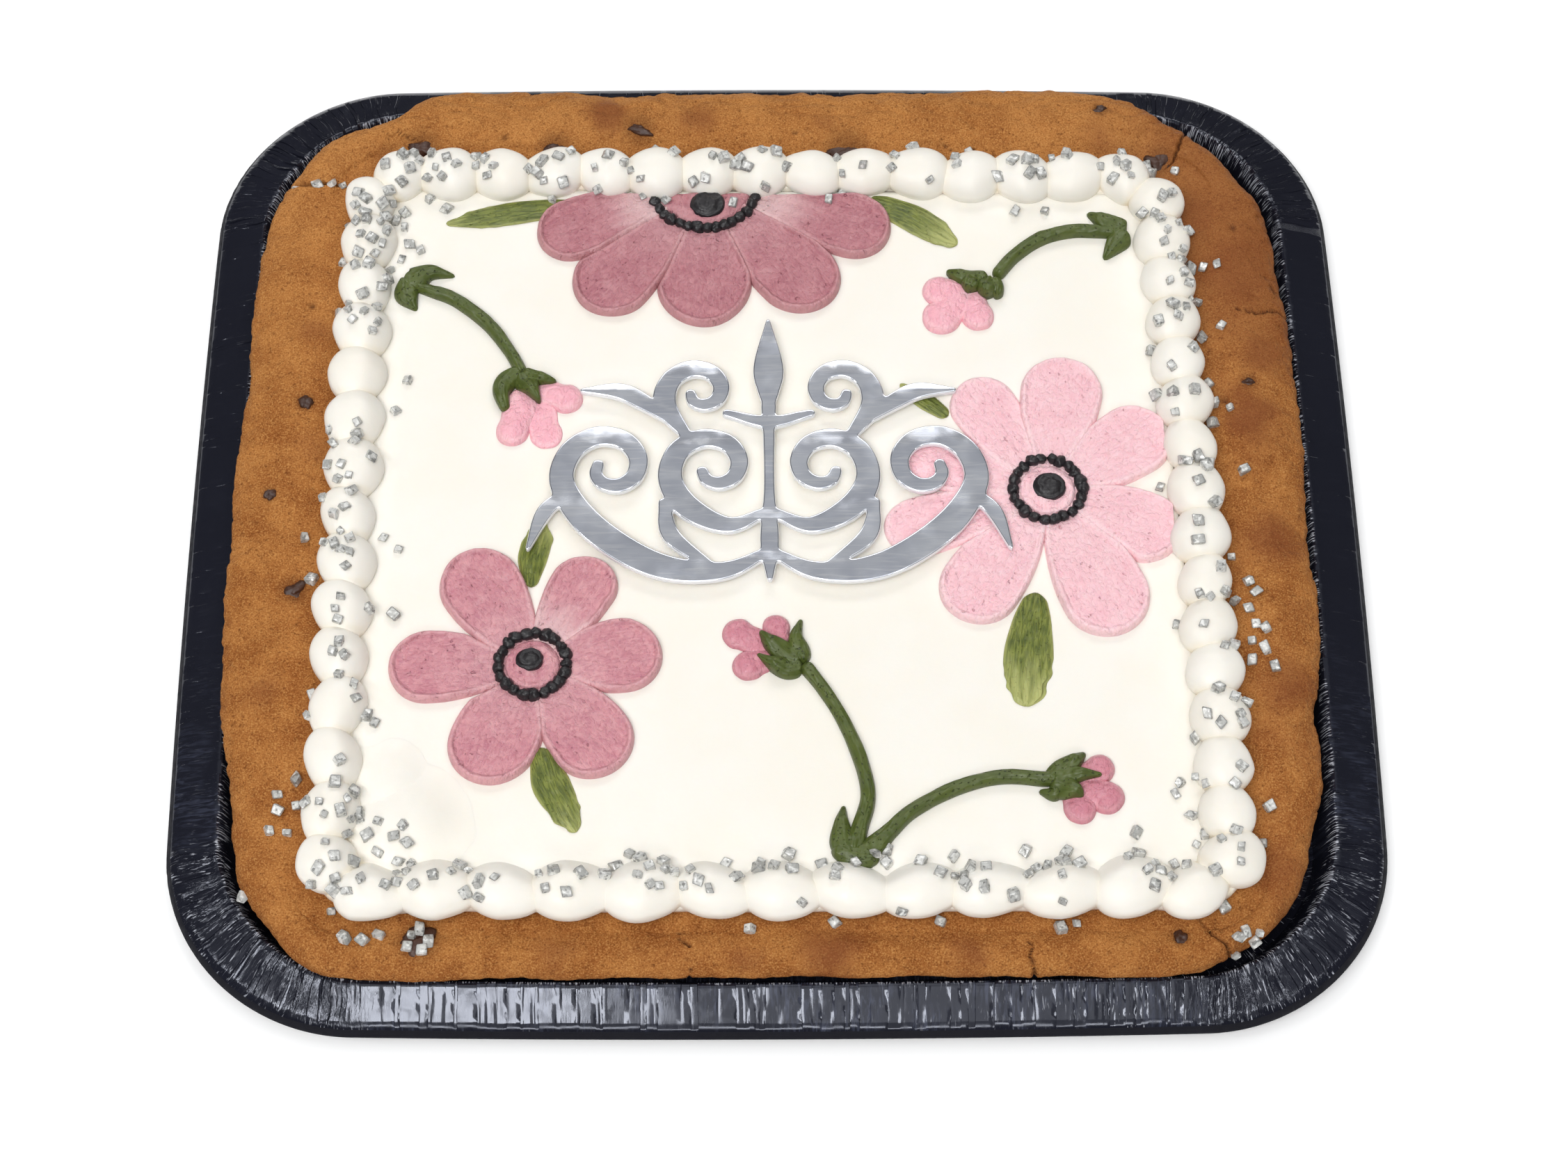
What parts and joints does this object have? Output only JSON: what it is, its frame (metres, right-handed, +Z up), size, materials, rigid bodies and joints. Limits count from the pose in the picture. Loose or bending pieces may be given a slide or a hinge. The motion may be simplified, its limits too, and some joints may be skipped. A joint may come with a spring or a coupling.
{
  "type": "cookie cake",
  "caption": "Rectangular chocolate chip cookie slab in a black tray, iced, with a piped bead border, sugar crystals, icing flowers and a silver scrollwork topper.",
  "frame": {"origin": "middle of the underside of the tray", "axes": "+X along the long side, +Y away from the front edge, +Z up"},
  "size_m": [0.3498, 0.3228, 0.0364],
  "materials": {
    "tray_black": "glossy black coated board",
    "baked_cookie": "matte golden brown crust",
    "white_icing": "satin off-white icing",
    "mauve_icing": "satin mauve icing",
    "pink_icing": "satin light pink icing",
    "dark_icing": "satin black icing",
    "green_icing": "satin olive green icing",
    "mirror_topper": "silver mirror plastic",
    "silver_crystal": "pearly silver sugar",
    "chocolate": "dark chocolate"
  },
  "bodies": {
    "root": {"bud_left_a": "pink_icing", "bud_left_b": "pink_icing", "bud_left_c": "pink_icing", "bud_near_a": "mauve_icing", "bud_near_b": "mauve_icing", "bud_near_c": "mauve_icing", "bud_near_d": "mauve_icing", "bud_near_e": "mauve_icing", "bud_near_f": "mauve_icing", "bud_right_a": "pink_icing", "bud_right_b": "pink_icing", "bud_right_c": "pink_icing", "cookie": "baked_cookie", "dot_left": "dark_icing", "dot_right": "dark_icing", "dot_top": "dark_icing", "icing_sheet": "white_icing", "leaf_left_bottom": "green_icing", "leaf_left_top": "green_icing", "leaf_right_bottom": "green_icing", "leaf_right_top": "green_icing", "leaf_top_left": "green_icing", "leaf_top_right": "green_icing", "petal_left_1": "mauve_icing", "petal_left_2": "mauve_icing", "petal_left_3": "mauve_icing", "petal_left_4": "mauve_icing", "petal_left_5": "mauve_icing", "petal_left_6": "mauve_icing", "petal_right_1": "pink_icing", "petal_right_2": "pink_icing", "petal_right_3": "pink_icing", "petal_right_4": "pink_icing", "petal_right_5": "pink_icing", "petal_right_6": "pink_icing", "petal_right_7": "pink_icing", "petal_right_8": "pink_icing", "petal_top_1": "mauve_icing", "petal_top_2": "mauve_icing", "petal_top_3": "mauve_icing", "petal_top_4": "mauve_icing", "petal_top_5": "mauve_icing", "piped_border": "white_icing", "ring_left": "dark_icing", "ring_right": "dark_icing", "ring_top": "dark_icing", "sprig_left": "green_icing", "sprig_near": "green_icing", "sprig_right": "green_icing", "topper": "mirror_topper", "tray": "tray_black", "tray_rim": "tray_black"}
  },
  "joints": []
}
